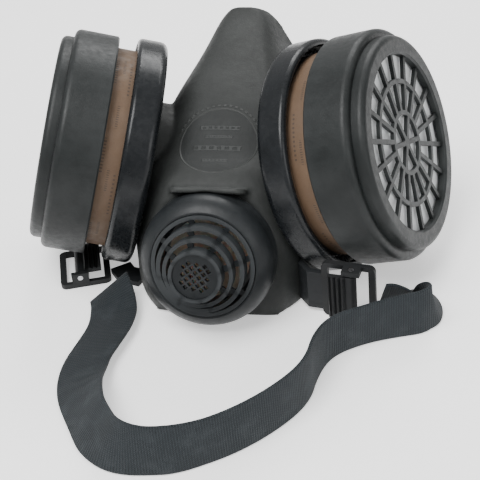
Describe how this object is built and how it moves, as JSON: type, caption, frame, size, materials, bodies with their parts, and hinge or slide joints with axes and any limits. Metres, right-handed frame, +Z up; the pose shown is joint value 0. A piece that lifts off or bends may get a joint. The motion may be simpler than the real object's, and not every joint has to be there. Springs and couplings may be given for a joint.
{
  "type": "respirator",
  "caption": "Half-mask respirator with angled side filters under grilled caps, a stepped front exhalation valve and an elastic head strap lying in front of it.",
  "frame": {"origin": "centre of the standing mask's footprint, on the table, measured without the strap", "axes": "+X across the mask through the two filters, to the viewer's right; +Y back, towards the wearer's face; +Z up"},
  "size_m": [0.1774, 0.1954, 0.0976],
  "materials": {
    "facepiece_rubber": "satin moulded rubber with a fine grain",
    "housing_rubber": "satin moulded rubber",
    "socket_rubber": "smooth, glossier moulded rubber",
    "gasket_rubber": "matt",
    "lug_rubber": "matt",
    "cover_plastic": "satin moulded",
    "cap_plastic": "satin moulded with a fine grain",
    "valve_plastic": "satin",
    "flap_silicone": "translucent amber silicone, satin",
    "can_plastic": "smooth",
    "screen_plastic": "satin",
    "label": "printed paper, matt brown",
    "carbon": "granular",
    "filter_medium": "pleated fibre",
    "prefilter_felt": "fibrous felt",
    "buckle_plastic": "satin moulded",
    "pin_steel": "drawn wire",
    "webbing": "woven elastic"
  },
  "bodies": {
    "root": {"facepiece": "facepiece_rubber", "valve_housing": "housing_rubber", "exhalation_seat": "valve_plastic", "left_cup": "socket_rubber", "left_inhalation_seat": "valve_plastic", "left_gasket": "gasket_rubber", "left_lug": "lug_rubber", "left_buckle": "buckle_plastic", "left_buckle_pin": "pin_steel", "right_cup": "socket_rubber", "right_inhalation_seat": "valve_plastic", "right_gasket": "gasket_rubber", "right_lug": "lug_rubber", "right_buckle": "buckle_plastic", "right_buckle_pin": "pin_steel", "strap": "webbing"},
    "cover": {"valve_cover": "cover_plastic"},
    "exhalation_flap": {"exhalation_flap": "flap_silicone"},
    "left_filter": {"left_cartridge": "can_plastic", "left_label_band": "label", "left_carbon_bed": "carbon", "left_particle_filter": "filter_medium", "left_retaining_screen": "screen_plastic"},
    "left_cap": {"left_cap": "cap_plastic", "left_prefilter_pad": "prefilter_felt"},
    "left_inhalation_flap": {"left_inhalation_flap": "flap_silicone"},
    "left_lever": {"left_buckle_lever": "buckle_plastic"},
    "right_filter": {"right_cartridge": "can_plastic", "right_label_band": "label", "right_carbon_bed": "carbon", "right_particle_filter": "filter_medium", "right_retaining_screen": "screen_plastic"},
    "right_cap": {"right_cap": "cap_plastic", "right_prefilter_pad": "prefilter_felt"},
    "right_inhalation_flap": {"right_inhalation_flap": "flap_silicone"},
    "right_lever": {"right_buckle_lever": "buckle_plastic"}
  },
  "joints": [
    {"name": "cover_pull", "type": "slide", "parent": "root", "child": "cover", "axis": [0, -0.9563, 0.2924], "range_m": [0, 0.015]},
    {"name": "exhalation_flap_lift", "type": "slide", "parent": "root", "child": "exhalation_flap", "axis": [0, -0.9563, 0.2924], "range_m": [0, 0.002]},
    {"name": "left_filter_pull", "type": "slide", "parent": "root", "child": "left_filter", "axis": [-0.9299, -0.2069, 0.3042], "range_m": [0, 0.02]},
    {"name": "left_cap_pull", "type": "slide", "parent": "left_filter", "child": "left_cap", "axis": [-0.9299, -0.2069, 0.3042], "range_m": [0, 0.02]},
    {"name": "left_inhalation_flap_lift", "type": "slide", "parent": "root", "child": "left_inhalation_flap", "axis": [0.9299, 0.2069, -0.3042], "range_m": [0, 0.0015]},
    {"name": "left_lever_hinge", "type": "hinge", "parent": "root", "child": "left_lever", "pos_m": [-0.06438, -0.01627, 0.0048], "axis": [0.342, -0.9397, 0], "range_deg": [0, 14]},
    {"name": "right_filter_pull", "type": "slide", "parent": "root", "child": "right_filter", "axis": [0.9299, -0.2069, 0.3042], "range_m": [0, 0.02]},
    {"name": "right_cap_pull", "type": "slide", "parent": "right_filter", "child": "right_cap", "axis": [0.9299, -0.2069, 0.3042], "range_m": [0, 0.02]},
    {"name": "right_inhalation_flap_lift", "type": "slide", "parent": "root", "child": "right_inhalation_flap", "axis": [-0.9299, 0.2069, -0.3042], "range_m": [0, 0.0015]},
    {"name": "right_lever_hinge", "type": "hinge", "parent": "root", "child": "right_lever", "pos_m": [0.05434, -0.04242, 0.0127], "axis": [0, 0, 1], "range_deg": [0, 35]}
  ],
  "couplings": [
    {"joint": "right_inhalation_flap_lift", "follows": "left_inhalation_flap_lift", "ratio": 1}
  ]
}
